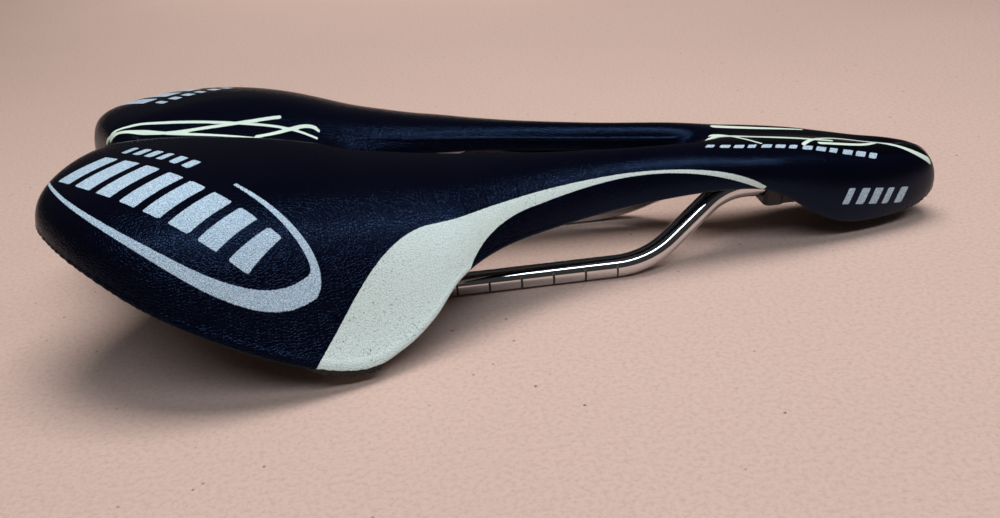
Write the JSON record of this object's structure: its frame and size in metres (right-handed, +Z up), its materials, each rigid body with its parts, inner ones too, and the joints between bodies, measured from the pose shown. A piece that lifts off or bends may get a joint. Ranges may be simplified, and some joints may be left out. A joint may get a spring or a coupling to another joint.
{
  "type": "bicycle saddle",
  "caption": "Narrow racing saddle with a padded, printed cover, split tail, through relief cut-out and drooped nose, carried on two parallel round rails for a seatpost clamp.",
  "frame": {"origin": "centre of the bounding box in plan, at the bottom of the rails' level clamp length", "axes": "+X to the nose, +Y to the rider's left, +Z up"},
  "size_m": [0.2752, 0.1436, 0.058],
  "materials": {
    "cover": "fine grained black synthetic leather with a navy sheen and pale printed bands",
    "padding": "matte closed cell foam",
    "shell": "satin moulded nylon",
    "holder": "fine textured moulded nylon",
    "rail": "polished",
    "sleeve": "matte",
    "screw": "satin zinc plated",
    "staple": "bright wire"
  },
  "bodies": {
    "root": {"cover": "cover", "padding": "padding", "shell": "shell", "nose_block": "holder", "rail_left": "rail", "rail_right": "rail", "rear_clip_left": "holder", "rear_clip_right": "holder", "rear_sleeve_left": "sleeve", "rear_sleeve_right": "sleeve", "nose_screw_rear": "screw", "nose_screw_front": "screw", "clip_screw_left_inner": "screw", "clip_screw_right_inner": "screw", "clip_screw_left_outer": "screw", "clip_screw_right_outer": "screw", "staple_left_1": "staple", "staple_right_1": "staple", "staple_left_2": "staple", "staple_right_2": "staple", "staple_left_3": "staple", "staple_right_3": "staple", "staple_left_4": "staple", "staple_right_4": "staple", "staple_left_5": "staple", "staple_right_5": "staple", "staple_left_6": "staple", "staple_right_6": "staple", "staple_left_7": "staple", "staple_right_7": "staple"}
  },
  "joints": []
}
